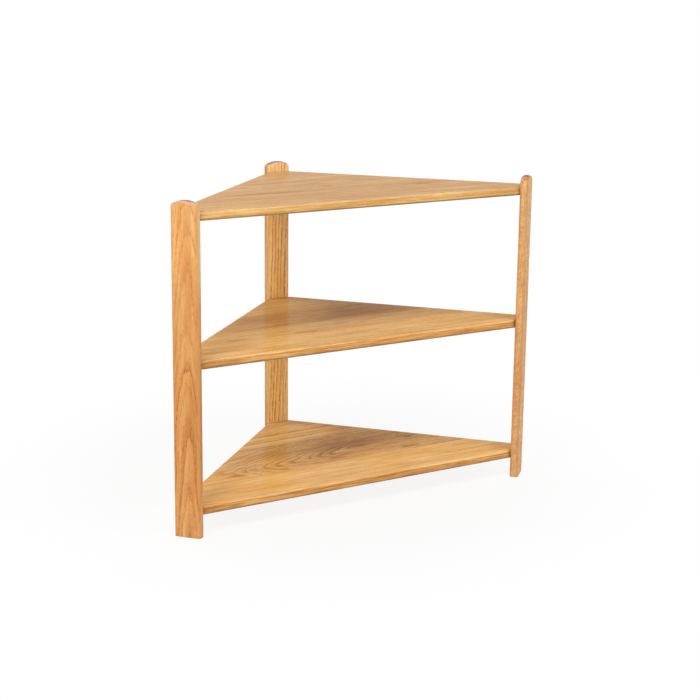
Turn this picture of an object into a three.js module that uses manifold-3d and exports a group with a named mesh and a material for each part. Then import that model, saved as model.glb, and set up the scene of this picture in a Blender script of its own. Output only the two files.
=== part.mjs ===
// Three-tier corner shelf unit in solid oak: three flat posts on end and three
// triangular shelves that butt against them, held by blind fluted dowels.
// Millimetres, +Z up. The front edge of the shelves runs along X, the room
// corner lies towards +Y, and the two wall edges run at 45 degrees to X.

import * as THREE from "three";
import { mergeVertices } from "three/addons/utils/BufferGeometryUtils.js";
import Module from "manifold-3d";

const wasm = await Module();
wasm.setup();

// Posts
const postWidth = 57;
const postThickness = 19;
const postEdgeRadius = 6; // round-over of the long edges and of the crowned top
const postCrownRise = 8; // the arched top stands this much above its shoulders
const postShoulderRadius = 8; // the crown turns down into the sides
const postAboveTopShelf = 23;

// Shelves
const shelfThickness = 19;
const shelfDepth = 424; // from the front edge to the face of the back post
const cornerCut = 51; // length of the square cut at each corner, where a post stands
const shelfFrontRadius = 5; // round-over of the front edge, above and below
const shelfWallRadius = 2; // eased arris of the two wall edges
const floorClearance = 42; // from the floor to the bottom shelf
const lowerBayHeight = 285; // clear height between bottom and middle shelf
const upperBayHeight = 279; // clear height between middle and top shelf

// Dowel joints
const dowelDiameter = 8;
const dowelLength = 40;
const dowelSpacing = 25; // between the two dowels of one joint
const dowelChamfer = 1;
const fluteDepth = 0.5;
const fluteCount = 8;
const crestShare = 0.4; // of one flute's pitch, the crest between two grooves
const grooveShare = 0.7; // of the pitch, to the bottom of the groove
const postCover = 6; // wood left between a blind hole and the post's outer face
const dowelSideClearance = 0.3; // radial, in its hole
const dowelEndClearance = 0.8; // glue room at the bottom of a hole
const jointGap = 0.3; // between a shelf's square cut and its post

// Shape helpers
const wallAngle = Math.PI / 4; // each wall edge to the front edge
const cutOverrun = 10; // how far a cutting solid passes the piece it cuts
const thickestRoundShare = 0.45; // a round-over takes at most this share of its board
const tightestRoundShare = 0.9; // and at most this share of an arc that it follows
const crownSteps = 14; // facets along the arched top of a post
const shoulderSteps = 5;
const roundSteps = 5; // facets across a round-over
const easedSteps = 3; // facets of an eased arris on a shelf
const holeSides = 24;

// Undersides of the shelves, counted up from the floor, and the posts over them
const bottomUnderside = floorClearance;
const middleUnderside = bottomUnderside + shelfThickness + lowerBayHeight;
const topUnderside = middleUnderside + shelfThickness + upperBayHeight;
const postHeight = topUnderside + shelfThickness + postAboveTopShelf;

const shelves = [
  { name: "bottom", underside: bottomUnderside },
  { name: "middle", underside: middleUnderside },
  { name: "top", underside: topUnderside },
];

// Closed geometry to solid and back. Only positions are kept, with shared
// vertices merged, so that cuts meet cleanly.
function toSolid(geometry) {
  const bare = geometry.clone();
  for (const name of Object.keys(bare.attributes)) {
    if (name !== "position") bare.deleteAttribute(name);
  }
  const merged = mergeVertices(bare);
  return new wasm.Manifold(
    new wasm.Mesh({
      numProp: 3,
      vertProperties: merged.attributes.position.array,
      triVerts: new Uint32Array(merged.index.array),
    }),
  );
}

function toGeometry(solid) {
  const mesh = solid.getMesh();
  const geometry = new THREE.BufferGeometry();
  geometry.setAttribute(
    "position",
    new THREE.BufferAttribute(mesh.vertProperties, 3),
  );
  geometry.setIndex(new THREE.BufferAttribute(mesh.triVerts, 1));
  geometry.computeVertexNormals();
  return geometry;
}

function outlineOf(points) {
  return new THREE.Shape(points.map(([x, y]) => new THREE.Vector2(x, y)));
}

function polar(radius, angle) {
  return [radius * Math.cos(angle), radius * Math.sin(angle)];
}

// Points along an arc, both ends included.
function arc(x, y, radius, from, to, steps) {
  const points = [];
  for (let i = 0; i <= steps; i++) {
    const [dx, dy] = polar(radius, from + ((to - from) * i) / steps);
    points.push([x + dx, y + dy]);
  }
  return points;
}

function prism(points, height) {
  return new THREE.ExtrudeGeometry(outlineOf(points), {
    depth: height,
    bevelEnabled: false,
  });
}

// An outline extruded to a board whose long edges are rounded on both faces.
// The outline is the board's full size, and the board lies from z = 0 to its
// thickness.
function roundedBoard(points, thickness, radius, steps) {
  const geometry = new THREE.ExtrudeGeometry(outlineOf(points), {
    depth: thickness - 2 * radius,
    bevelEnabled: true,
    bevelThickness: radius,
    bevelSize: radius,
    bevelOffset: -radius,
    bevelSegments: steps,
  });
  return geometry.translate(0, 0, radius);
}

// Plan of a shelf, the front edge on Y = 0. Before its corners are cut it is a
// triangle that reaches tipX to each side and apexDepth back. The cuts at the
// tips are square to the wall edges, the one at the back is along the front.
const halfCut = cornerCut / 2;
const apexDepth = shelfDepth + halfCut * Math.tan(wallAngle);
const tipX = apexDepth / Math.tan(wallAngle);
const cutAlongWall = cornerCut / Math.tan(wallAngle);
const cutMiddleX =
  tipX - cutAlongWall * Math.cos(wallAngle) - halfCut * Math.sin(wallAngle);
const cutMiddleY =
  cutAlongWall * Math.sin(wallAngle) - halfCut * Math.cos(wallAngle);
const tipTurn = Math.PI / 2 + wallAngle;

// The three corners where a post stands. Each has its own frame: the origin on
// the shelf's square cut, midway along it at floor level, +Y out of the shelf
// and +Z up. wallSide is the direction along local X of the wall that the post
// stands flush with, or 0 at the back, where the post stands centred.

const corners = [
  {
    name: "left",
    position: [-cutMiddleX, cutMiddleY],
    turn: tipTurn,
    wallSide: 1,
  },
  {
    name: "right",
    position: [cutMiddleX, cutMiddleY],
    turn: -tipTurn,
    wallSide: -1,
  },
  { name: "back", position: [0, shelfDepth], turn: 0, wallSide: 0 },
];

function cornerGroup(corner) {
  const group = new THREE.Group();
  group.position.set(corner.position[0], corner.position[1], 0);
  group.rotation.z = corner.turn;
  group.updateMatrixWorld(true);
  return group;
}

// Where the two dowels of each joint lie in a corner's frame: how far each runs
// into the post, and across the cut.
const dowelInPost = jointGap + postThickness - postCover - dowelEndClearance;
const dowelInShelf = dowelLength - dowelInPost;
const dowelPlaces = [
  { name: "a", x: -dowelSpacing / 2 },
  { name: "b", x: dowelSpacing / 2 },
];

// A fluted dowel, its axis along Y: a bar with grooves, turned down to a
// chamfer at both ends. It starts at its end in the shelf.
function dowelGeometry() {
  const radius = dowelDiameter / 2;
  const pitch = (2 * Math.PI) / fluteCount;
  const section = [];
  for (let i = 0; i < fluteCount; i++) {
    section.push(polar(radius, i * pitch));
    section.push(polar(radius, (i + crestShare) * pitch));
    section.push(polar(radius - fluteDepth, (i + grooveShare) * pitch));
  }
  const bar = toSolid(prism(section, dowelLength));

  // The turned blank is wider than the bar, so that only its cones cut it.
  const narrow = radius - dowelChamfer;
  const wide = radius + dowelChamfer;
  const cone = wide - narrow;
  const turned = new THREE.LatheGeometry(
    [
      [0, 0],
      [narrow, 0],
      [wide, cone],
      [wide, dowelLength - cone],
      [narrow, dowelLength],
      [0, dowelLength],
    ].map(([x, y]) => new THREE.Vector2(x, y)),
    holeSides,
  ).rotateX(Math.PI / 2);
  const dowel = toGeometry(bar.intersect(toSolid(turned)));
  return dowel.rotateX(-Math.PI / 2).translate(0, -dowelInShelf, 0);
}

// The solid that drills one dowel's hole in shelf and post together.
function dowelHole(x, z) {
  const radius = dowelDiameter / 2 + dowelSideClearance;
  const length = dowelLength + 2 * dowelEndClearance;
  const drill = new THREE.CylinderGeometry(radius, radius, length, holeSides);
  return drill.translate(x, dowelInPost - dowelLength / 2, z);
}

// A post in its corner's frame. Its front view is a board with an arched top
// that turns down into the sides by small arcs.
function postGeometry(corner) {
  const half = postWidth / 2;
  const radius = Math.min(
    postEdgeRadius,
    postThickness * thickestRoundShare,
    postShoulderRadius * tightestRoundShare,
  );
  const crownRadius =
    (half * half + postCrownRise * postCrownRise) / (2 * postCrownRise);
  const crownCentre = postHeight - crownRadius;
  const shoulderX = half - postShoulderRadius;
  const reach = crownRadius - postShoulderRadius;
  const shoulderAngle = Math.acos(shoulderX / reach);
  const shoulderY = crownCentre + reach * Math.sin(shoulderAngle);

  const shoulder = arc(
    shoulderX,
    shoulderY,
    postShoulderRadius,
    0,
    shoulderAngle,
    shoulderSteps,
  );
  const crown = arc(
    0,
    crownCentre,
    crownRadius,
    shoulderAngle,
    Math.PI - shoulderAngle,
    crownSteps,
  );
  const outline = [
    [-half, -cutOverrun],
    [half, -cutOverrun],
    ...shoulder,
    ...crown.slice(1, -1),
    ...shoulder.map(([x, y]) => [-x, y]).reverse(),
  ];

  const blank = roundedBoard(outline, postThickness, radius, roundSteps)
    .rotateX(Math.PI / 2)
    .translate(0, postThickness + jointGap, 0);
  const lateral = (-corner.wallSide * (postWidth - cornerCut)) / 2;
  blank.translate(lateral, 0, 0);

  // The foot is sawn square at the floor.
  const foot = new THREE.BoxGeometry(
    postWidth + 2 * cutOverrun,
    postThickness + 2 * cutOverrun,
    2 * cutOverrun,
  ).translate(lateral, jointGap + postThickness / 2, -cutOverrun);

  let post = toSolid(blank).subtract(toSolid(foot));
  for (const shelf of shelves) {
    for (const place of dowelPlaces) {
      const hole = dowelHole(place.x, shelf.underside + shelfThickness / 2);
      post = post.subtract(toSolid(hole));
    }
  }
  return toGeometry(post);
}

// A shelf, its underside at z = 0. The triangle's wall edges are eased, its
// front edge is rounded over, and its three corners are cut square.
function shelfGeometry() {
  const wallRadius = Math.min(
    shelfWallRadius,
    shelfThickness * thickestRoundShare,
  );
  const frontRadius = Math.min(
    shelfFrontRadius,
    shelfThickness * thickestRoundShare,
  );

  // The triangle runs past the front edge, which is shaped below.
  const pastFront = tipX + cutOverrun / Math.tan(wallAngle);
  const triangle = [
    [-pastFront, -cutOverrun],
    [pastFront, -cutOverrun],
    [0, apexDepth],
  ];
  const blank = roundedBoard(triangle, shelfThickness, wallRadius, easedSteps);

  // Side view of the front edge, y across and z up, extruded along X.
  const upper = arc(
    frontRadius,
    shelfThickness - frontRadius,
    frontRadius,
    Math.PI / 2,
    Math.PI,
    roundSteps,
  );
  const lower = upper.map(([y, z]) => [y, shelfThickness - z]).reverse();
  const side = [[apexDepth, 0], [apexDepth, shelfThickness], ...upper, ...lower];
  const front = prism(side, 2 * pastFront)
    .rotateX(Math.PI / 2)
    .rotateZ(Math.PI / 2)
    .translate(-pastFront, 0, 0);

  // The three square cuts as one outline that is wider than the shelf elsewhere.
  const cutFootX = cutMiddleX - halfCut * Math.sin(wallAngle);
  const slope = Math.tan(wallAngle);
  const limits = prism(
    [
      [-cutFootX + cutOverrun * slope, -cutOverrun],
      [cutFootX - cutOverrun * slope, -cutOverrun],
      [cutFootX + shelfDepth * slope, shelfDepth],
      [-cutFootX - shelfDepth * slope, shelfDepth],
    ],
    shelfThickness + 2 * cutOverrun,
  ).translate(0, 0, -cutOverrun);

  let shelf = toSolid(blank).intersect(toSolid(front)).intersect(toSolid(limits));
  for (const corner of corners) {
    const frame = cornerGroup(corner).matrixWorld;
    for (const place of dowelPlaces) {
      const hole = dowelHole(place.x, shelfThickness / 2).applyMatrix4(frame);
      shelf = shelf.subtract(toSolid(hole));
    }
  }
  return toGeometry(shelf);
}

function oak(color, roughness) {
  return new THREE.MeshStandardMaterial({ color, roughness, metalness: 0 });
}

function namedMesh(name, geometry, material) {
  const mesh = new THREE.Mesh(geometry, material);
  mesh.name = name;
  return mesh;
}

const unit = new THREE.Group();

const shelfBlank = shelfGeometry();
for (const shelf of shelves) {
  const mesh = namedMesh(`${shelf.name}_shelf`, shelfBlank, oak(0xd9b078, 0.35));
  mesh.position.z = shelf.underside;
  unit.add(mesh);
}

const dowelBlank = dowelGeometry();
for (const corner of corners) {
  const group = cornerGroup(corner);
  group.add(namedMesh(`${corner.name}_post`, postGeometry(corner), oak(0xdea368, 0.4)));
  for (const shelf of shelves) {
    for (const place of dowelPlaces) {
      const name = `dowel_${shelf.name}_${corner.name}_${place.name}`;
      const dowel = namedMesh(name, dowelBlank, oak(0xe0c79c, 0.7));
      dowel.position.set(place.x, 0, shelf.underside + shelfThickness / 2);
      group.add(dowel);
    }
  }
  unit.add(group);
}

// The unit stands on z = 0 with the origin under the middle of its bounds.
const bounds = new THREE.Box3().setFromObject(unit);
const middle = bounds.getCenter(new THREE.Vector3());
unit.position.set(-middle.x, -middle.y, 0);

const model = new THREE.Group();
model.add(unit);

export default model;
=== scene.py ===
import math

import bpy
from mathutils import Euler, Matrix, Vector


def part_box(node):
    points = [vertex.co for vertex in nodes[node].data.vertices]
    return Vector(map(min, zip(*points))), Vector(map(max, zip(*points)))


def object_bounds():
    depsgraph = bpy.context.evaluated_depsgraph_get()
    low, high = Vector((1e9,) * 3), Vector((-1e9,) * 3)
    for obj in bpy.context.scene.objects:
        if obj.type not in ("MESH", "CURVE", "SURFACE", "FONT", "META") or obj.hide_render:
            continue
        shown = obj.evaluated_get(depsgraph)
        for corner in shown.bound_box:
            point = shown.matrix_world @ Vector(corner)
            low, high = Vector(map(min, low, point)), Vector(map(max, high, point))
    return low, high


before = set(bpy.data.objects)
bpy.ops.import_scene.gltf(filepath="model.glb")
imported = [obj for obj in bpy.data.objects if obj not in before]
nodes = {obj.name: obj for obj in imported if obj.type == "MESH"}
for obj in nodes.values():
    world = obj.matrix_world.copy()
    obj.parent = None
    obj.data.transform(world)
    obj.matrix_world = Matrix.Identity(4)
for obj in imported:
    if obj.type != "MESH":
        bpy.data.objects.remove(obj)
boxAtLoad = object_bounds()
print("frame loaded:", len(nodes), "pieces")

mm = 0.001
lowest, highest = boxAtLoad
middle = (lowest + highest) / 2


# Node helpers: feed links a socket or sets it, and the rest add a node and give back its output

def feed(tree, socket, value):
    if isinstance(value, bpy.types.NodeSocket):
        tree.links.new(value, socket)
    else:
        socket.default_value = value


def calc(tree, operation, *values, clamp=False):
    node = tree.nodes.new("ShaderNodeMath")
    node.operation = operation
    node.use_clamp = clamp
    for socket, value in zip(node.inputs, values):
        feed(tree, socket, value)
    return node.outputs[0]


def times(tree, first, second, clamp=False):
    return calc(tree, "MULTIPLY", first, second, clamp=clamp)


def calcVector(tree, operation, *values):
    node = tree.nodes.new("ShaderNodeVectorMath")
    node.operation = operation
    for socket, value in zip(node.inputs, values):
        feed(tree, socket, value)
    return node.outputs["Value" if operation in ("DOT_PRODUCT", "LENGTH") else "Vector"]


def scaled(tree, vector, amount):
    node = tree.nodes.new("ShaderNodeVectorMath")
    node.operation = "SCALE"
    feed(tree, node.inputs[0], vector)
    feed(tree, node.inputs["Scale"], amount)
    return node.outputs["Vector"]


def noise(tree, place, detail=2.0, roughness=0.5, output="Fac"):
    node = tree.nodes.new("ShaderNodeTexNoise")
    feed(tree, node.inputs["Vector"], place)
    node.inputs["Scale"].default_value = 1.0
    node.inputs["Detail"].default_value = detail
    node.inputs["Roughness"].default_value = roughness
    return node.outputs[output]


# A value from low to high becomes toLow to toHigh, and stays there beyond either end
def fit(tree, value, low, high, toLow=0.0, toHigh=1.0, smooth=True):
    node = tree.nodes.new("ShaderNodeMapRange")
    node.interpolation_type = "SMOOTHSTEP" if smooth else "LINEAR"
    numbers = {"Value": value, "From Min": low, "From Max": high, "To Min": toLow, "To Max": toHigh}
    for name, number in numbers.items():
        feed(tree, node.inputs[name], number)
    return node.outputs["Result"]


def blendColour(tree, share, first, second, how="MIX"):
    node = tree.nodes.new("ShaderNodeMix")
    node.data_type = "RGBA"
    node.blend_type = how
    feed(tree, node.inputs["Factor"], share)
    feed(tree, node.inputs["A"], first)
    feed(tree, node.inputs["B"], second)
    return node.outputs["Result"]


def stain(tree, share, wood, tint):
    return blendColour(tree, share, wood, tint, "MULTIPLY")


def bleach(tree, share, wood, light):
    return blendColour(tree, share, wood, light, "ADD")


def splitUp(tree, place):
    node = tree.nodes.new("ShaderNodeSeparateXYZ")
    feed(tree, node.inputs[0], place)
    return node.outputs["X"], node.outputs["Y"], node.outputs["Z"]


def putTogether(tree, x, y, z):
    node = tree.nodes.new("ShaderNodeCombineXYZ")
    for socket, value in zip(node.inputs, (x, y, z)):
        feed(tree, socket, value)
    return node.outputs[0]


def ramp(tree, value, stops):
    node = tree.nodes.new("ShaderNodeValToRGB")
    points = node.color_ramp.elements
    while len(points) < len(stops):
        points.new(0.5)  # it is moved just below
    for point, (at, level) in zip(points, stops):
        point.position = at
        point.color = (level, level, level, 1)
    feed(tree, node.inputs["Fac"], value)
    return node.outputs["Color"]


# sRGB levels as a paint chart gives them, to the linear colour that a shader takes. A stain with
# levels over 255 makes the wood paler.
def colour(red, green, blue):
    def linear(level):
        share = level / 255
        return share / 12.92 if share <= 0.04045 else ((share + 0.055) / 1.055) ** 2.4
    return (linear(red), linear(green), linear(blue), 1)


# A grain is one noise in the wood. size is the length of what it makes, in millimetres across the
# fibres and along them, and range is where it starts to show and where it is full, which may be
# followed by the shares it goes between.
def stretched(tree, place, size):
    across, along = size
    return calcVector(tree, "MULTIPLY", place, (1 / across, 1 / across, 1 / along))


def grainShare(tree, place, grain):
    field = noise(tree, stretched(tree, place, grain["size"]), grain["detail"], grain["roughness"])
    return fit(tree, field, *grain["range"])


noiseMiddle = 0.5  # a noise swings about this


# A grain used as a direction, to push places about
def grainBend(tree, place, grain):
    field = noise(tree, stretched(tree, place, grain["size"]), grain["detail"], output="Color")
    return calcVector(tree, "SUBTRACT", field, (noiseMiddle, noiseMiddle, noiseMiddle))


# The figure of oak as a solid: growth rings about a pith that drifts along the board, cut by
# the board's faces. Lengths are millimetres, x across the board, y through it, z along the grain.
oakFigureInputs = (
    ("Place", "NodeSocketVector", None),
    ("Pith", "NodeSocketVector", (0.0, 60.0, 0.0)),
    ("Drift", "NodeSocketVector", (0.0, 0.03, 0.0)),
    ("Ring width", "NodeSocketFloat", 4.5),
    ("Heave", "NodeSocketFloat", 0.0),
    ("Heave length", "NodeSocketFloat", 200.0),
    ("Swell", "NodeSocketFloat", 0.0),
    ("Swell from", "NodeSocketFloat", 0.0),
    ("Swell to", "NodeSocketFloat", 100.0),
    ("Wander", "NodeSocketFloat", 3.0),
    ("Rings", "NodeSocketFloat", 0.6),
    ("Pores", "NodeSocketFloat", 0.5),
    ("Flecks", "NodeSocketFloat", 0.3),
    ("Fleck size", "NodeSocketVector", (0.9, 6.0, 9.0)),
    ("Curl", "NodeSocketFloat", 0.0),
    ("Tone", "NodeSocketFloat", 0.0),
    ("Seed", "NodeSocketFloat", 0.0),
    ("Patch", "NodeSocketVector", (0.0, 0.0, 0.0)),
    ("Patch reach", "NodeSocketVector", (100.0, 100.0, 100.0)),
    ("Patch depth", "NodeSocketFloat", 0.0),
    ("Patch colour", "NodeSocketColor", colour(196, 180, 170)),
    ("End grain", "NodeSocketFloat", 0.0),
    ("End colour", "NodeSocketColor", colour(208, 190, 178)),
    ("Pale", "NodeSocketColor", colour(240, 190, 128)),
    ("Honey", "NodeSocketColor", colour(226, 166, 100)),
    ("Dark", "NodeSocketColor", colour(168, 104, 52)),
)
oakFigureOutputs = (
    ("Color", "NodeSocketColor"),
    ("Roughness", "NodeSocketFloat"),
    ("Height", "NodeSocketFloat"),
)

# What all the oak shares. heaveRow is the row of a noise that the heave follows. springBand is how
# dark the wood is at each place in a year. A floor is there anyway, and a gain is what the streaks
# add to the rings and spring wood adds to the pores. patchRim counts in reaches: where a patch
# starts and where it is full. The roughness of pores and ends comes on top of roughness.
oak = {
    "seedStep": (137.0, 71.0, 331.0), "bendPerWander": 3.2, "smallBendShare": 0.17,
    "slowBend": {"size": (60, 260), "detail": 1.0},
    "smallBend": {"size": (9, 48), "detail": 2.0},
    "heaveRow": 7.3, "heaveDetail": 1.0,
    "unevenPerYear": 0.45, "unevenYears": 2.2, "weakestYear": 0.4,
    "springBand": ((0.0, 0.12), (0.05, 1.0), (0.24, 0.7), (0.5, 0.22), (0.75, 0.04), (1.0, 0.12)),
    "streaks": {"size": (1.5, 28), "detail": 3.0, "roughness": 0.62, "range": (0.34, 0.66)},
    "stripes": {"size": (6.5, 170), "detail": 2.0, "roughness": 0.5, "range": (0.34, 0.66)},
    "clouds": {"size": (30, 190), "detail": 2.0, "roughness": 0.5, "range": (0.3, 0.7)},
    "pores": {"size": (0.5, 9), "detail": 2.0, "roughness": 0.55, "range": (0.48, 0.6)},
    "streakShare": 0.2, "stripeShare": 0.26, "ringGain": 1.05, "ringFloor": 0.3,
    "poreGain": 0.85, "poreFloor": 0.15, "poreStain": colour(188, 140, 90),
    "fleckRange": (0.54, 0.68), "fleckLight": colour(36, 46, 62),
    "curlSize": (20.0, 20.0, 5.0), "curlSlant": 0.5, "curlDetail": 1.0, "curlRange": (0.4, 0.62),
    "curlStain": colour(222, 208, 190),
    "darkTone": colour(222, 198, 172), "paleTone": colour(96, 84, 62),
    "patchRagged": 90.0, "patchRim": (1.15, 0.25),
    "roughness": 0.36, "poreRoughness": 0.25, "endRoughness": 0.12, "springRise": -0.25,
}


# Where a point lies from the pith. The rings wander slowly along the trunk, and a little on the
# scale of a hand. The pith runs at a slant, heaves in waves, and swells between two places.
def placeFromPith(tree, given, seeded, slow, small):
    along = splitUp(tree, given["Place"])[2]
    share = oak["smallBendShare"]
    bent = calcVector(tree, "MULTIPLY_ADD", small, (share, share, 0.0), slow)
    wobble = scaled(tree, bent, times(tree, given["Wander"], oak["bendPerWander"]))
    wavePlace = calc(tree, "DIVIDE", splitUp(tree, seeded)[2], given["Heave length"])
    wavePlace = putTogether(tree, wavePlace, oak["heaveRow"], given["Seed"])
    wave = calc(tree, "SUBTRACT", noise(tree, wavePlace, oak["heaveDetail"]), noiseMiddle)
    heave = times(tree, wave, times(tree, given["Heave"], 1 / noiseMiddle))
    swell = times(tree, fit(tree, along, given["Swell from"], given["Swell to"]), given["Swell"])
    pith = calcVector(tree, "ADD", given["Pith"], scaled(tree, given["Drift"], along))
    pith = calcVector(tree, "ADD", pith, putTogether(tree, 0.0, calc(tree, "ADD", heave, swell), 0.0))
    return calcVector(tree, "SUBTRACT", calcVector(tree, "ADD", given["Place"], wobble), pith)


# Spring wood opens a year as a dark porous band and fades into the dense summer wood. Years differ
# in width and in strength.
def springWood(tree, given, radius):
    years = calc(tree, "DIVIDE", radius, given["Ring width"])
    unevenPlace = putTogether(tree, times(tree, years, oak["unevenPerYear"]), given["Seed"], 0.0)
    years = calc(tree, "MULTIPLY_ADD", noise(tree, unevenPlace), oak["unevenYears"], years)
    luck = tree.nodes.new("ShaderNodeTexWhiteNoise")
    luck.noise_dimensions = "1D"
    feed(tree, luck.inputs["W"], calc(tree, "FLOOR", years))
    strength = fit(tree, luck.outputs["Value"], 0.0, 1.0, oak["weakestYear"], 1.0, smooth=False)
    return times(tree, ramp(tree, calc(tree, "FRACT", years), oak["springBand"]), strength)


# Medullary rays: sheets that stand radially, thin lines on a flat-sawn face, flecks on an edge
def rayFlecks(tree, given, seeded, fromX, fromY, radius):
    around = times(tree, calc(tree, "ARCTAN2", fromY, fromX), radius)
    place = putTogether(tree, around, radius, splitUp(tree, seeded)[2])
    place = calcVector(tree, "DIVIDE", place, given["Fleck size"])
    return fit(tree, noise(tree, place), *oak["fleckRange"])


# Curl: fibres that lean in and out show as soft dark bands across the board
def curlBands(tree, seeded):
    x, y, z = splitUp(tree, seeded)
    place = putTogether(tree, x, y, calc(tree, "MULTIPLY_ADD", y, oak["curlSlant"], z))
    field = noise(tree, calcVector(tree, "DIVIDE", place, oak["curlSize"]), oak["curlDetail"])
    return fit(tree, field, *oak["curlRange"])


# A patch of darker or paler colour, ragged at its rim. On the lower shelves it is painted shadow from
# the shelf above, and at the top of the back post painted light
def inPatch(tree, given, slow, small):
    ragged = scaled(tree, calcVector(tree, "ADD", slow, small), oak["patchRagged"])
    place = calcVector(tree, "SUBTRACT", calcVector(tree, "ADD", given["Place"], ragged), given["Patch"])
    away = calcVector(tree, "LENGTH", calcVector(tree, "DIVIDE", place, given["Patch reach"]))
    return times(tree, fit(tree, away, *oak["patchRim"]), given["Patch depth"])


# Pale and honey wood in clouds, and over it the stripes, rings, streaks, rays, curl and pores.
# A tone over 0 stains the whole stave, and one under 0 bleaches it.
def woodColour(tree, given, seeded, spring, flecks, pores):
    streaks = grainShare(tree, seeded, oak["streaks"])
    stripes = grainShare(tree, seeded, oak["stripes"])
    wood = blendColour(tree, grainShare(tree, seeded, oak["clouds"]), given["Pale"], given["Honey"])
    wood = blendColour(tree, times(tree, stripes, oak["stripeShare"]), wood, given["Dark"])
    broken = calc(tree, "MULTIPLY_ADD", streaks, oak["ringGain"], oak["ringFloor"])
    rings = times(tree, times(tree, spring, broken), given["Rings"], clamp=True)
    wood = blendColour(tree, rings, wood, given["Dark"])
    wood = blendColour(tree, times(tree, streaks, oak["streakShare"]), wood, given["Dark"])
    rayColour = bleach(tree, 1.0, given["Pale"], oak["fleckLight"])
    wood = blendColour(tree, times(tree, flecks, given["Flecks"]), wood, rayColour)
    wood = stain(tree, times(tree, curlBands(tree, seeded), given["Curl"]), wood, oak["curlStain"])
    poreColour = stain(tree, 1.0, given["Dark"], oak["poreStain"])
    wood = blendColour(tree, times(tree, pores, given["Pores"]), wood, poreColour)
    wood = stain(tree, calc(tree, "MAXIMUM", given["Tone"], 0.0), wood, oak["darkTone"])
    paler = calc(tree, "MAXIMUM", times(tree, given["Tone"], -1.0), 0.0)
    return bleach(tree, paler, wood, oak["paleTone"])


def makeOakFigure():
    tree = bpy.data.node_groups.new("oakFigure", "ShaderNodeTree")
    for name, kind, start in oakFigureInputs:
        socket = tree.interface.new_socket(name, in_out="INPUT", socket_type=kind)
        if start is not None:
            socket.default_value = start
    for name, kind in oakFigureOutputs:
        tree.interface.new_socket(name, in_out="OUTPUT", socket_type=kind)
    given = tree.nodes.new("NodeGroupInput").outputs
    result = tree.nodes.new("NodeGroupOutput").inputs

    # Each seed starts elsewhere in the noise
    seeded = calcVector(tree, "ADD", given["Place"], scaled(tree, oak["seedStep"], given["Seed"]))
    slow = grainBend(tree, seeded, oak["slowBend"])
    small = grainBend(tree, seeded, oak["smallBend"])
    fromX, fromY, _ = splitUp(tree, placeFromPith(tree, given, seeded, slow, small))
    radius = calc(tree, "SQRT", calc(tree, "ADD", times(tree, fromX, fromX), times(tree, fromY, fromY)))
    spring = springWood(tree, given, radius)
    poreRoom = calc(tree, "MULTIPLY_ADD", spring, oak["poreGain"], oak["poreFloor"])
    pores = times(tree, grainShare(tree, seeded, oak["pores"]), poreRoom)
    flecks = rayFlecks(tree, given, seeded, fromX, fromY, radius)

    wood = woodColour(tree, given, seeded, spring, flecks, pores)
    wood = stain(tree, inPatch(tree, given, slow, small), wood, given["Patch colour"])
    wood = stain(tree, given["End grain"], wood, given["End colour"])
    rough = calc(tree, "MULTIPLY_ADD", pores, oak["poreRoughness"], oak["roughness"])
    rough = calc(tree, "MULTIPLY_ADD", given["End grain"], oak["endRoughness"], rough)
    relief = calc(tree, "MULTIPLY_ADD", spring, oak["springRise"], calc(tree, "SUBTRACT", 1.0, pores))
    feed(tree, result["Color"], wood)
    feed(tree, result["Roughness"], rough)
    feed(tree, result["Height"], relief)
    return tree


oakFigure = makeOakFigure()


# A pair of facings is how squarely a face looks one way, as a cosine, where an effect starts and
# where it is full
lacquer = {
    "coat": 0.2, "coatRoughness": 0.15, "coatIor": 1.7, "bumpStrength": 0.5, "bumpDepth": 0.12 * mm,
    "endFacings": (0.35, 0.9), "sideFacings": (0.8, 0.98),
}


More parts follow.
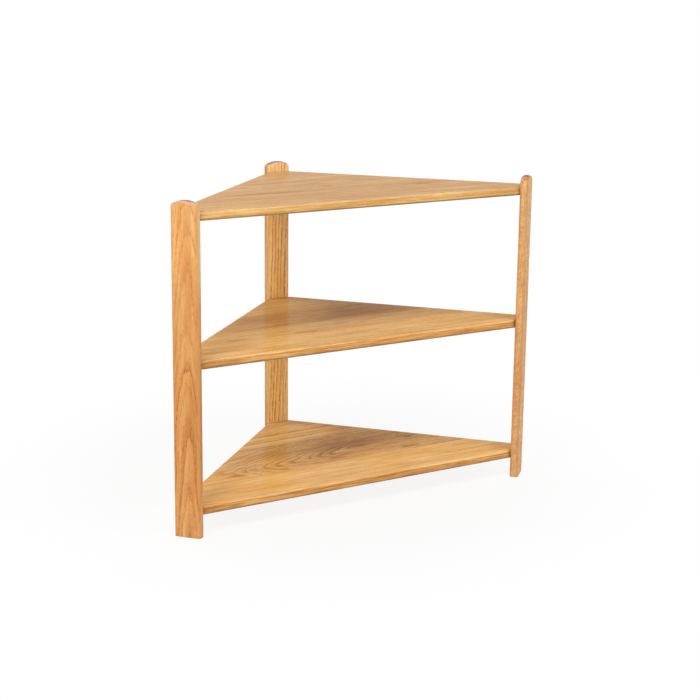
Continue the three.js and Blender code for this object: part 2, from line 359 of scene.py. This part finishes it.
# Lacquered oak for one piece. across, through and along are the board's own directions in the
# frame, the last one the way the fibres run. staves, if there are any, lie side by side across.
def oakMaterial(piece, origin, across, through, along):
    material = bpy.data.materials.new(piece["node"] + "_lacqueredOak")
    material.use_nodes = True
    tree = material.node_tree
    shader = tree.nodes["Principled BSDF"]
    ways = (across, through, along)
    place = tree.nodes.new("ShaderNodeTexCoord").outputs["Object"]
    place = calcVector(tree, "SUBTRACT", place, tuple(origin))
    place = calcVector(tree, "MULTIPLY", place, (1 / mm, 1 / mm, 1 / mm))
    place = putTogether(tree, *(calcVector(tree, "DOT_PRODUCT", place, way) for way in ways))

    figure = tree.nodes.new("ShaderNodeGroup")
    figure.node_tree = oakFigure
    given = figure.inputs
    feed(tree, given["Place"], place)
    for socket in given:
        if socket.name in piece:
            socket.default_value = figureValue(socket.name, piece[socket.name])
    if "staves" in piece:
        layStaves(tree, place, piece["staves"], given)
    if "fading" in piece:
        fadeRings(tree, place, piece["fading"], given["Rings"])

    # How squarely a point looks across, through and along the board
    normal = tree.nodes.new("ShaderNodeNewGeometry").outputs["Normal"]
    toSide, toFace, toEnd = (
        calc(tree, "ABSOLUTE", calcVector(tree, "DOT_PRODUCT", normal, way)) for way in ways
    )
    onEnd = fit(tree, toEnd, *lacquer["endFacings"])
    feed(tree, given["End grain"], onEnd)
    wood = figure.outputs["Color"]
    # Painted shade and painted light on the edge faces, stained darker or paler by how squarely they
    # look across the board
    if "sideColour" in piece:
        wood = stain(tree, fit(tree, toSide, *lacquer["sideFacings"]), wood, piece["sideColour"])
    for mark in piece.get("marks", ()):
        wood = addMark(tree, wood, place, mark)
    if "sideStreaks" in piece:
        wood = streakSides(tree, wood, place, toSide, piece["sideStreaks"])
    squarest = calc(tree, "MAXIMUM", toSide, calc(tree, "MAXIMUM", toFace, toEnd))
    wood = paintRoundOverLightAndShade(tree, wood, place, squarest, onEnd, piece)
    if "underEdge" in piece:
        wood = paintUnderEdgeShade(tree, wood, normal, toFace, piece["underEdge"])
    if "seams" in piece:
        wood = paintSeamShade(tree, wood, piece["seams"], piece["seamDepth"])

    bump = tree.nodes.new("ShaderNodeBump")
    bump.inputs["Strength"].default_value = lacquer["bumpStrength"]
    bump.inputs["Distance"].default_value = lacquer["bumpDepth"]
    feed(tree, bump.inputs["Height"], figure.outputs["Height"])
    feed(tree, shader.inputs["Base Color"], wood)
    feed(tree, shader.inputs["Roughness"], figure.outputs["Roughness"])
    feed(tree, shader.inputs["Normal"], bump.outputs[0])
    shader.inputs["Specular IOR Level"].default_value = 0.0  # only the coat shines
    shader.inputs["Coat Weight"].default_value = piece.get("coat", lacquer["coat"])
    shader.inputs["Coat Roughness"].default_value = lacquer["coatRoughness"]
    shader.inputs["Coat IOR"].default_value = lacquer["coatIor"]
    return material


# The pieces give Pith and Drift across and through the board only
def figureValue(name, value):
    return (*value, 0.0) if name in ("Pith", "Drift") else value


# Staves glued side by side: each one's own values take over past the edge of the one before
def layStaves(tree, place, staves, given):
    across = splitUp(tree, place)[0]
    values = {name: figureValue(name, value) for name, value in staves[0].items() if name != "edge"}
    for before, stave in zip(staves, staves[1:]):
        past = calc(tree, "GREATER_THAN", across, before["edge"])
        for name in values:
            if stave[name] == before[name]:
                continue
            if name in ("Pith", "Drift"):
                change = figureValue(name, tuple(b - a for a, b in zip(before[name], stave[name])))
                values[name] = calcVector(tree, "ADD", values[name], scaled(tree, change, past))
            else:
                values[name] = calc(tree, "MULTIPLY_ADD", past, stave[name] - before[name], values[name])
    for name, value in values.items():
        feed(tree, given[name], value)


# The rings grow stronger or weaker along the board. fading is where that starts and ends, in
# millimetres along it, and the share of the rings before and after.
def fadeRings(tree, place, fading, rings):
    strength = rings.links[0].from_socket if rings.is_linked else rings.default_value
    feed(tree, rings, times(tree, fit(tree, splitUp(tree, place)[2], *fading), strength))


# A darker or paler spot at one place, ragged at its rim: some are knots and smudges in the wood, some
# painted shade and painted light. at and reach are millimetres across and along the board, and the range
# counts in reaches.
markRim = {
    "grain": {"size": (25 / 3, 25), "detail": 3.0},
    "ragged": (16.0, 0.0, 50.0), "through": 100.0, "range": (1.2, 0.2),
}


def addMark(tree, wood, place, mark):
    across, along = mark["at"]
    reachAcross, reachAlong = mark["reach"]
    bend = grainBend(tree, place, markRim["grain"])
    spot = calcVector(tree, "MULTIPLY_ADD", bend, markRim["ragged"], place)
    spot = calcVector(tree, "SUBTRACT", spot, (across, 0.0, along))
    spot = calcVector(tree, "DIVIDE", spot, (reachAcross, markRim["through"], reachAlong))
    share = fit(tree, calcVector(tree, "LENGTH", spot), *markRim["range"])
    return stain(tree, times(tree, share, mark["depth"]), wood, mark["colour"])


# A sawn and planed edge shows the fibres as fine broken brown streaks
sawnSide = {
    "grain": {"size": (2.5, 500 / 7), "detail": 3.0, "roughness": 0.6, "range": (0.42, 0.64)},
    "facings": (0.5, 0.95), "stain": colour(196, 160, 132),
}


def streakSides(tree, wood, place, toSide, depth):
    onSide = fit(tree, toSide, *sawnSide["facings"])
    share = times(tree, grainShare(tree, place, sawnSide["grain"]), onSide)
    return stain(tree, times(tree, share, depth), wood, sawnSide["stain"])


# Painted highlight on the round-overs, added in patches. On the posts they are painted instead towards a
# painted shade along the edges and a painted colour on the crown's arris
roundOver = {
    "grain": {"size": (20, 50), "detail": 2.0, "roughness": 0.5, "range": (0.3, 0.7, 0.5, 1.0)},
    "facings": (0.998, 0.93), "rubbed": 0.6, "light": colour(98, 104, 92),
}


def paintRoundOverLightAndShade(tree, wood, place, squarest, onEnd, piece):
    rounded = fit(tree, squarest, *roundOver["facings"])
    share = times(tree, rounded, grainShare(tree, place, roundOver["grain"]))
    share = times(tree, share, piece.get("rubbed", roundOver["rubbed"]))
    if "rubbedTo" in piece:
        paintedRoundOver = blendColour(tree, onEnd, piece["rubbedTo"], piece["rubbedEnd"])
        return blendColour(tree, share, wood, paintedRoundOver)
    return bleach(tree, share, wood, roundOver["light"])


# Painted shade on the arris under a board, which faces down, away from the lamps
underArrisShade = {"downFacings": (0.0, 0.45), "facings": (0.999, 0.97), "stain": colour(184, 176, 180)}


def paintUnderEdgeShade(tree, wood, normal, toFace, depth):
    down = fit(tree, times(tree, splitUp(tree, normal)[2], -1.0), *underArrisShade["downFacings"])
    share = times(tree, down, fit(tree, toFace, *underArrisShade["facings"]))
    return stain(tree, times(tree, share, depth), wood, underArrisShade["stain"])


# Painted shade in a band 7 mm wide where a shelf butts against a post. Each seam is a point of the
# post's middle, the way through the post, and half its thickness, in metres.
seamShade = {"width": 7 * mm, "stain": colour(204, 176, 138)}


def paintSeamShade(tree, wood, seams, depth):
    place = tree.nodes.new("ShaderNodeTexCoord").outputs["Object"]
    nearest = None
    for point, way, half in seams:
        offset = calcVector(tree, "DOT_PRODUCT", calcVector(tree, "SUBTRACT", place, point), way)
        gap = calc(tree, "SUBTRACT", calc(tree, "ABSOLUTE", offset), half)
        nearest = gap if nearest is None else calc(tree, "MINIMUM", nearest, gap)
    return stain(tree, fit(tree, nearest, seamShade["width"], 0.0, 0.0, depth), wood, seamShade["stain"])


# The frame's boards come as loose flat triangles: weld them and let light roll over the round-overs
smoothing = {"weldWithin": 0.002 * mm, "sharpOver": 35, "weight": 100}


def makeSmoothBoard():
    tree = bpy.data.node_groups.new("smoothBoard", "GeometryNodeTree")
    tree.interface.new_socket("Geometry", in_out="INPUT", socket_type="NodeSocketGeometry")
    tree.interface.new_socket("Geometry", in_out="OUTPUT", socket_type="NodeSocketGeometry")
    start = tree.nodes.new("NodeGroupInput")
    end = tree.nodes.new("NodeGroupOutput")
    forget = tree.nodes.new("GeometryNodeRemoveAttribute")
    forget.inputs["Name"].default_value = "custom_normal"
    weld = tree.nodes.new("GeometryNodeMergeByDistance")
    weld.inputs["Distance"].default_value = smoothing["weldWithin"]
    smoothFaces = tree.nodes.new("GeometryNodeSetShadeSmooth")
    smoothFaces.domain = "FACE"
    sharpEdges = tree.nodes.new("GeometryNodeSetShadeSmooth")
    sharpEdges.domain = "EDGE"
    sharpEdges.inputs["Shade Smooth"].default_value = False
    angle = tree.nodes.new("GeometryNodeInputMeshEdgeAngle")
    over = tree.nodes.new("FunctionNodeCompare")
    over.data_type = "FLOAT"
    over.operation = "GREATER_THAN"
    over.inputs["B"].default_value = math.radians(smoothing["sharpOver"])
    tree.links.new(angle.outputs["Unsigned Angle"], over.inputs["A"])
    tree.links.new(over.outputs["Result"], sharpEdges.inputs["Selection"])
    chain = (start, forget, weld, smoothFaces, sharpEdges, end)
    for first, second in zip(chain, chain[1:]):
        tree.links.new(first.outputs["Geometry"], second.inputs["Geometry"])
    return tree


smoothBoard = makeSmoothBoard()


def dress(node, material):
    board = nodes[node]
    board.data.materials.clear()
    board.data.materials.append(material)
    soft = board.modifiers.new("smoothBoard", "NODES")
    soft.node_group = smoothBoard
    weigh = board.modifiers.new("faceNormals", "WEIGHTED_NORMAL")
    weigh.mode = "FACE_AREA_WITH_ANGLE"
    weigh.weight = smoothing["weight"]
    weigh.keep_sharp = True


def footOf(node):
    low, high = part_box(node)
    return Vector(((low.x + high.x) / 2, (low.y + high.y) / 2, 0))


# Posts. facing is the way the outer broad face looks, in degrees from straight ahead. A post's two
# round-over colours are the painted shade along its edges and the painted colour of its crown's arris.
leftPost = {
    "node": "left_post", "facing": -45, "Pith": (3.0, 36.0), "Drift": (0.004, 0.036), "Ring width": 3.2,
    "Wander": 3.4, "Rings": 0.54, "Pores": 0.9, "Flecks": 0.2, "Seed": 1.0,
    "fading": (330.0, 520.0, 1.0, 0.93), "rubbed": 0.75,
    # Painted shade and painted highlight on the round-overs, and painted light on the narrow sides
    "rubbedTo": colour(200, 146, 88), "rubbedEnd": colour(238, 204, 182),
    "End colour": colour(142, 142, 176), "sideColour": colour(252, 272, 300),
    "Patch": (0.0, 0.0, 235.0), "Patch reach": (90.0, 90.0, 270.0), "Patch depth": 0.9,
    "Patch colour": colour(232, 214, 194),
    "marks": (
        {"at": (0.0, 480.0), "reach": (60.0, 70.0), "depth": 0.8, "colour": colour(245, 240, 238)},
        {"at": (0.0, 15.0), "reach": (60.0, 60.0), "depth": 0.8, "colour": colour(244, 238, 236)},
    ),
    "Pale": colour(244, 195, 126), "Honey": colour(233, 173, 102), "Dark": colour(186, 98, 38),
}
rightPost = {
    "node": "right_post", "facing": 45, "Pith": (-28.0, 64.0), "Drift": (0.004, 0.02), "Ring width": 3.0,
    "Wander": 2.6, "Rings": 0.7, "Pores": 0.9, "Flecks": 0.7, "Fleck size": (1.8, 12.0, 8.0),
    "Curl": 0.4, "Seed": 2.0, "rubbed": 0.75,
    # Painted shade on the round-overs along the edges and on the crown's arris
    "rubbedTo": colour(184, 142, 107), "rubbedEnd": colour(208, 150, 100),
    "End colour": colour(172, 146, 136),
    "marks": (
        {"at": (0.0, 600.0), "reach": (60.0, 160.0), "depth": 0.9, "colour": colour(255, 263, 258)},
    ),
    "Pale": colour(247, 197, 131), "Honey": colour(234, 171, 102), "Dark": colour(168, 94, 40),
}
backPost = {
    "node": "back_post", "facing": 0, "Pith": (-110.0, 45.0), "Drift": (0.05, 0.01), "Ring width": 7.6,
    "Wander": 3.8, "Rings": 0.84, "Pores": 0.65, "Flecks": 0.3, "Seed": 3.0, "rubbed": 0.45,
    # Painted shade and painted highlight on the round-overs, painted shade on the narrow sides, and the
    # patch at the top is painted light
    "rubbedTo": colour(208, 166, 114), "rubbedEnd": colour(232, 196, 156),
    "End colour": colour(140, 134, 150), "sideColour": colour(218, 212, 204),
    "Patch": (0.0, 0.0, 700.0), "Patch reach": (90.0, 90.0, 56.0), "Patch depth": 1.0,
    "Patch colour": colour(255, 270, 318),
    "marks": (
        {"at": (0.0, 200.0), "reach": (60.0, 170.0), "depth": 0.9, "colour": colour(254, 261, 272)},
    ),
    "Pale": colour(254, 211, 138), "Honey": colour(248, 195, 116), "Dark": colour(156, 86, 32),
}
backLow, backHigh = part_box("back_post")
postThickness = (backHigh - backLow).y


def waysOf(post):
    turn = math.radians(post["facing"])
    across = (math.cos(turn), math.sin(turn), 0)
    through = (-math.sin(turn), math.cos(turn), 0)
    return across, through


def finishPost(post):
    dress(post["node"], oakMaterial(post, footOf(post["node"]), *waysOf(post), (0, 0, 1)))


for post in (leftPost, rightPost, backPost):
    finishPost(post)
print("posts finished")


# Shelves, each glued up from staves that run along the front edge. edge is where a stave ends, in
# millimetres back from the front edge, and the last one runs to the back.
bottomShelf = {
    "node": "bottom_shelf", "Wander": 5.0, "Flecks": 0.2, "Heave length": 120.0,
    "Swell from": -260.0, "Swell to": 60.0, "fading": (-290.0, -120.0, 0.5, 1.0),
    "staves": (
        {"edge": 60, "Pith": (-70.0, -60.0), "Drift": (0.004, 0.0), "Ring width": 4.0, "Heave": 0.0,
         "Swell": 0.0, "Rings": 0.22, "Pores": 0.3, "Tone": 0.1, "Seed": 4.0},
        {"edge": 113, "Pith": (60.0, -190.0), "Drift": (0.0, 0.006), "Ring width": 3.0, "Heave": 0.0,
         "Swell": 0.0, "Rings": 0.12, "Pores": 0.3, "Tone": 0.0, "Seed": 5.0},
        {"edge": 264, "Pith": (168.0, -70.0), "Drift": (0.16, 0.02), "Ring width": 6.4, "Heave": 10.0,
         "Swell": 52.0, "Rings": 1.0, "Pores": 0.55, "Tone": -0.22, "Seed": 6.0},
        # The last stave is paled strongly, partly wood tone and partly painted light on the back of the
        # shelf
        {"Pith": (230.0, -60.0), "Drift": (0.01, 0.01), "Ring width": 14.0, "Heave": 0.0,
         "Swell": 0.0, "Rings": 0.9, "Pores": 0.5, "Tone": -0.85, "Seed": 7.0},
    ),
    # The patch is painted shadow from the shelf above, and the side colour, the under-edge and the seam
    # stains are painted shade
    "Patch": (208.0, 0.0, 60.0), "Patch reach": (54.0, 100.0, 116.0), "Patch depth": 0.66,
    "Patch colour": colour(202, 180, 156), "sideColour": colour(236, 224, 208),
    "sideStreaks": 0.8, "underEdge": 0.9, "seamDepth": 0.9,
    "marks": (
        {"at": (153.0, -266.0), "reach": (12.0, 15.0), "depth": 0.95, "colour": colour(252, 204, 140)},
        {"at": (130.0, -246.0), "reach": (10.0, 26.0), "depth": 0.85, "colour": colour(212, 182, 150)},
        {"at": (136.0, 4.0), "reach": (9.0, 26.0), "depth": 0.85, "colour": colour(206, 174, 142)},
        {"at": (130.0, 190.0), "reach": (8.0, 30.0), "depth": 0.85, "colour": colour(206, 174, 142)},
        {"at": (190.0, 222.0), "reach": (10.0, 22.0), "depth": 0.7, "colour": colour(206, 178, 148)},
        {"at": (184.0, 84.0), "reach": (11.0, 24.0), "depth": 0.7, "colour": colour(206, 176, 148)},
        # The next two marks are painted shade near the left post, and the two after them painted light
        # on the left and the back of the shelf
        {"at": (36.0, -285.0), "reach": (44.0, 120.0), "depth": 0.75, "colour": colour(234, 226, 214)},
        {"at": (0.0, -375.0), "reach": (8.0, 60.0), "depth": 0.9, "colour": colour(234, 226, 216)},
        {"at": (182.0, -158.0), "reach": (46.0, 70.0), "depth": 0.8, "colour": colour(275, 273, 268)},
        {"at": (325.0, 52.0), "reach": (56.0, 52.0), "depth": 0.8, "colour": colour(274, 278, 278)},
    ),
    "Pale": colour(252, 212, 138), "Honey": colour(244, 190, 108), "Dark": colour(164, 92, 30),
}
middleShelf = {
    "node": "middle_shelf", "Wander": 4.2, "Pores": 0.5, "Flecks": 0.2,
    "staves": (
        {"edge": 96, "Pith": (-40.0, -120.0), "Drift": (0.004, 0.01), "Ring width": 4.0, "Heave": 6.0,
         "Heave length": 200.0, "Rings": 0.4, "Tone": -0.05, "Seed": 8.0},
        {"edge": 182, "Pith": (60.0, -160.0), "Drift": (0.0, 0.012), "Ring width": 3.6, "Heave": 6.0,
         "Heave length": 200.0, "Rings": 0.45, "Tone": 0.04, "Seed": 9.0},
        {"edge": 300, "Pith": (140.0, -90.0), "Drift": (0.01, 0.012), "Ring width": 4.6, "Heave": 12.0,
         "Heave length": 220.0, "Rings": 0.75, "Tone": 0.3, "Seed": 10.0},
        {"Pith": (240.0, -80.0), "Drift": (0.012, 0.01), "Ring width": 5.5, "Heave": 0.0,
         "Heave length": 200.0, "Rings": 0.5, "Tone": 0.1, "Seed": 11.0},
    ),
    # The patch is painted shadow from the shelf above, and the side colour, the under-edge and the seam
    # stains are painted shade
    "Patch": (214.0, 0.0, 95.0), "Patch reach": (62.0, 100.0, 150.0), "Patch depth": 0.46,
    "Patch colour": colour(212, 182, 148), "sideColour": colour(250, 242, 230),
    "sideStreaks": 0.65, "underEdge": 0.9, "seamDepth": 0.9,
    "marks": (
        {"at": (112.0, -245.0), "reach": (8.0, 32.0), "depth": 0.7, "colour": colour(222, 202, 178)},
        {"at": (110.0, -88.0), "reach": (10.0, 42.0), "depth": 0.7, "colour": colour(222, 200, 176)},
        # The next two marks are painted shade near the left post
        {"at": (50.0, -262.0), "reach": (30.0, 90.0), "depth": 0.7, "colour": colour(232, 214, 196)},
        {"at": (0.0, -372.0), "reach": (8.0, 70.0), "depth": 0.9, "colour": colour(232, 224, 214)},
    ),
    "Pale": colour(243, 202, 130), "Honey": colour(233, 181, 102), "Dark": colour(158, 92, 34),
}
topShelf = {
    "node": "top_shelf", "Wander": 3.0, "Pores": 0.5, "Flecks": 0.2,
    "staves": (
        {"edge": 88, "Pith": (-60.0, -70.0), "Drift": (0.004, 0.004), "Ring width": 5.0, "Heave": 0.0,
         "Heave length": 200.0, "Rings": 0.55, "Tone": 0.0, "Seed": 12.0},
        {"edge": 170, "Pith": (40.0, -160.0), "Drift": (0.0, 0.012), "Ring width": 4.6, "Heave": 10.0,
         "Heave length": 220.0, "Rings": 0.5, "Tone": 0.1, "Seed": 13.0},
        {"edge": 292, "Pith": (230.0, -90.0), "Drift": (0.008, 0.016), "Ring width": 3.6, "Heave": 6.0,
         "Heave length": 220.0, "Rings": 0.35, "Tone": 0.0, "Seed": 14.0},
        {"Pith": (300.0, -120.0), "Drift": (0.01, 0.01), "Ring width": 3.6, "Heave": 0.0,
         "Heave length": 200.0, "Rings": 0.3, "Tone": -0.1, "Seed": 15.0},
    ),
    # The side colour is painted light on the edge faces, and the under-edge and the seam stains are
    # painted shade
    "sideColour": colour(281, 281, 246), "sideStreaks": 0.28, "underEdge": 0.85, "seamDepth": 0.5,
    "marks": (
        {"at": (146.0, -170.0), "reach": (13.0, 130.0), "depth": 0.8, "colour": colour(224, 204, 180)},
        {"at": (136.0, 216.0), "reach": (14.0, 42.0), "depth": 0.8, "colour": colour(236, 200, 168)},
        {"at": (190.0, 0.0), "reach": (12.0, 24.0), "depth": 0.6, "colour": colour(226, 206, 184)},
        {"at": (48.0, 40.0), "reach": (26.0, 160.0), "depth": 0.6, "colour": colour(236, 222, 206)},
        {"at": (22.0, -300.0), "reach": (40.0, 120.0), "depth": 0.8, "colour": colour(266, 268, 268)},
    ),
    "Pale": colour(215, 176, 122), "Honey": colour(205, 160, 105), "Dark": colour(150, 93, 44),
}


def seamWith(post):
    _, through = waysOf(post)
    return tuple(footOf(post["node"])), through, postThickness / 2


# Own frame of a shelf: x back from the front edge, y up through the board, z along the front
def finishShelf(shelf):
    low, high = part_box(shelf["node"])
    origin = Vector((0, low.y, (low.z + high.z) / 2))
    withSeams = {**shelf, "seams": (seamWith(leftPost), seamWith(rightPost))}
    dress(shelf["node"], oakMaterial(withSeams, origin, (0, 1, 0), (0, 0, 1), (1, 0, 0)))


for shelf in (bottomShelf, middleShelf, topShelf):
    finishShelf(shelf)
print("shelves finished")


# Dowels, hidden in their holes. headings are the ways they point, in degrees, by the post that
# they go into.
dowel = {
    "headings": {"left": 135, "right": 45, "back": 90},
    "Pith": (30.0, 80.0), "Drift": (0.0, 0.0), "Ring width": 2.2, "Wander": 1.0, "Rings": 0.2,
    "Pores": 0.15, "Flecks": 0.5, "Seed": 20.0, "coat": 0.0,
    "Pale": colour(238, 208, 168), "Honey": colour(226, 190, 146), "Dark": colour(180, 138, 96),
}


def finishDowel(name):
    low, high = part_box(name)
    _, _, corner, _ = name.split("_")  # as in dowel_top_left_a
    turn = math.radians(dowel["headings"][corner])
    along = (math.cos(turn), math.sin(turn), 0)
    across = (math.sin(turn), -math.cos(turn), 0)
    dress(name, oakMaterial({**dowel, "node": name}, (low + high) / 2, across, (0, 0, 1), along))


for name in sorted(nodes):
    if name.startswith("dowel_"):
        finishDowel(name)
print("dowels finished")


# Studio: pale floor, white surroundings, four soft lamps. The floor is clear white past clearFar,
# and within clearNear the clearLeast share of it is, so that the shadow shows. Both are metres from
# the middle. The surroundings give the light of the horizon up to horizonRise and that of overhead
# from overheadRise. Rises are degrees.
studio = {
    "floorHalf": 14.0, "floorColour": (0.82, 0.82, 0.82, 1), "floorRoughness": 0.9, "floorSpecular": 0.1,
    "clearNear": 0.3, "clearFar": 0.9, "clearLeast": 0.88,
    "horizonLight": 2.0, "overheadLight": 0.12, "horizonRise": 12, "overheadRise": 26,
    "lamps": (
        {"name": "keyLamp", "from": (-0.82, -0.57), "rise": 46, "away": 3.4, "size": 1.3, "power": 46},
        {"name": "secondLamp", "from": (0.5, -0.87), "rise": 56, "away": 3.4, "size": 1.3, "power": 38},
        {"name": "rimLamp", "from": (0.71, 0.71), "rise": 50, "away": 3.4, "size": 1.3, "power": 12},
        {"name": "backLamp", "from": (-0.71, 0.71), "rise": 60, "away": 3.4, "size": 0.9, "power": 24},
    ),
}


# Where floor and surroundings are looked at, straight on or in a reflection, and don't light the
# boards
def lookedAt(tree):
    path = tree.nodes.new("ShaderNodeLightPath").outputs
    mirrored = calc(tree, "MAXIMUM", path["Is Glossy Ray"], path["Is Transmission Ray"])
    return calc(tree, "MAXIMUM", path["Is Camera Ray"], mirrored)


def makeFloor():
    half = studio["floorHalf"]
    corners = [(-half, -half, 0), (half, -half, 0), (half, half, 0), (-half, half, 0)]
    mesh = bpy.data.meshes.new("floor")
    mesh.from_pydata(corners, [], [(0, 1, 2, 3)])
    floor = bpy.data.objects.new("floor", mesh)
    bpy.context.scene.collection.objects.link(floor)
    material = bpy.data.materials.new("paleFloor")
    material.use_nodes = True
    tree = material.node_tree
    plain = tree.nodes["Principled BSDF"]
    plain.inputs["Base Color"].default_value = studio["floorColour"]
    plain.inputs["Roughness"].default_value = studio["floorRoughness"]
    plain.inputs["Specular IOR Level"].default_value = studio["floorSpecular"]
    white = tree.nodes.new("ShaderNodeEmission")
    distance = calcVector(tree, "LENGTH", tree.nodes.new("ShaderNodeTexCoord").outputs["Object"])
    away = fit(tree, distance, studio["clearNear"], studio["clearFar"], studio["clearLeast"], 1.0)
    mix = tree.nodes.new("ShaderNodeMixShader")
    feed(tree, mix.inputs[0], times(tree, lookedAt(tree), away))
    feed(tree, mix.inputs[1], plain.outputs[0])
    feed(tree, mix.inputs[2], white.outputs[0])
    feed(tree, tree.nodes["Material Output"].inputs["Surface"], mix.outputs[0])
    mesh.materials.append(material)


def makeWorld():
    world = bpy.data.worlds.new("studioWhite")
    bpy.context.scene.world = world
    world.use_nodes = True
    tree = world.node_tree
    light = tree.nodes["Background"]
    light.inputs["Color"].default_value = (1, 1, 1, 1)
    rise = splitUp(tree, tree.nodes.new("ShaderNodeTexCoord").outputs["Generated"])[2]
    low, high = (math.sin(math.radians(studio[name])) for name in ("horizonRise", "overheadRise"))
    soft = fit(tree, rise, low, high, studio["horizonLight"], studio["overheadLight"])
    white = calc(tree, "SUBTRACT", 1.0, soft)
    feed(tree, light.inputs["Strength"], calc(tree, "MULTIPLY_ADD", lookedAt(tree), white, soft))


def makeLamp(lampKind):
    flat = Vector((*lampKind["from"], 0)).normalized()
    tilt = math.radians(lampKind["rise"])
    away = flat * math.cos(tilt) + Vector((0, 0, math.sin(tilt)))
    data = bpy.data.lights.new(lampKind["name"], "AREA")
    data.shape = "DISK"
    data.size = lampKind["size"]
    data.energy = lampKind["power"]
    lamp = bpy.data.objects.new(lampKind["name"], data)
    bpy.context.scene.collection.objects.link(lamp)
    lamp.location = middle + away * lampKind["away"]
    lamp.rotation_euler = (-away).to_track_quat("-Z", "Y").to_euler()


makeFloor()
makeWorld()
for lampKind in studio["lamps"]:
    makeLamp(lampKind)
print("studio lit")


# Camera, found from the edges of the posts and shelves in the photograph. Its turns are degrees,
# and focalPixels is the lens in pixels of a frame that is framePixels wide.
view = {
    "place": (-1.4207, -2.7134, 1.1316), "heading": 28.86, "down": 11.98, "roll": 0.67,
    "focalPixels": 1420.5, "framePixels": 700, "sensor": 36.0, "shiftY": -0.12, "clipEnd": 60,
}


def makeCamera():
    data = bpy.data.cameras.new("camera")
    data.sensor_width = view["sensor"]
    data.lens = view["focalPixels"] / view["framePixels"] * view["sensor"]
    data.shift_y = view["shiftY"]
    data.clip_end = view["clipEnd"]
    camera = bpy.data.objects.new("camera", data)
    bpy.context.scene.collection.objects.link(camera)
    camera.location = view["place"]
    aim = Euler((math.radians(90 - view["down"]), 0, math.radians(-view["heading"]))).to_matrix()
    roll = Euler((0, 0, math.radians(view["roll"]))).to_matrix()
    camera.rotation_euler = (aim @ roll).to_euler()
    bpy.context.scene.camera = camera


makeCamera()
bpy.context.scene.view_settings.view_transform = "Standard"
print("camera placed")
